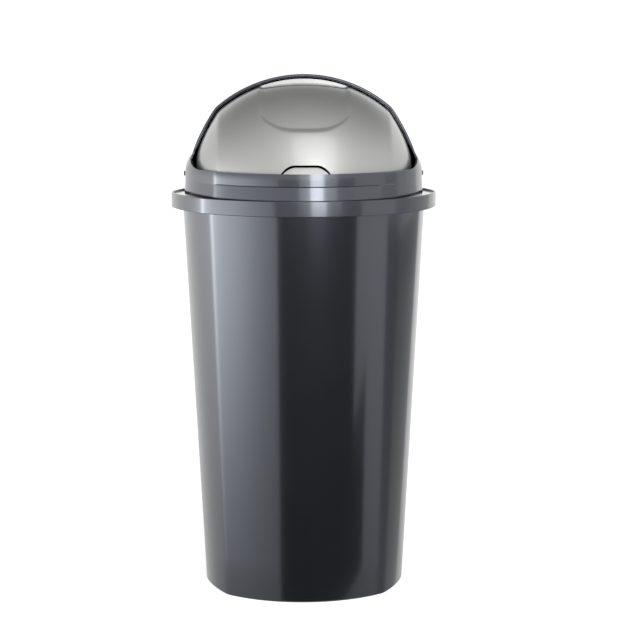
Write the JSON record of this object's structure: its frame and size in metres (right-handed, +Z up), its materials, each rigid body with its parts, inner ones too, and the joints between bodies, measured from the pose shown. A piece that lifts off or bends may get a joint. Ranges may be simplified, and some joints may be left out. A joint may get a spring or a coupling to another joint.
{
  "type": "swing lid bin",
  "caption": "Tapered waste bin with a banded rim, a lift-off domed hood and a flap that rolls back inside the hood.",
  "frame": {"origin": "centre of the base, on the floor", "axes": "+Z up, the flap faces -Y, the pivot axis runs along X"},
  "size_m": [0.3848, 0.3084, 0.751],
  "materials": {
    "dark_plastic": "smooth moulded plastic, dark metallic blue-grey",
    "silver_plastic": "satin moulded plastic, silver grey",
    "pin_plastic": "plain dark plastic"
  },
  "bodies": {
    "bin": {"bin_body": "dark_plastic"},
    "lid": {"lid_hood": "dark_plastic", "pivot_pin_left": "pin_plastic", "pivot_pin_right": "pin_plastic"},
    "flap": {"swing_flap": "silver_plastic"}
  },
  "joints": [
    {"name": "lid_lift", "type": "slide", "parent": "bin", "child": "lid", "axis": [0, 0, 1], "range_m": [0, 0.12]},
    {"name": "flap_swing", "type": "hinge", "parent": "lid", "child": "flap", "pos_m": [0, 0, 0.6086], "axis": [-1, 0, 0], "range_deg": [0, 80]}
  ]
}
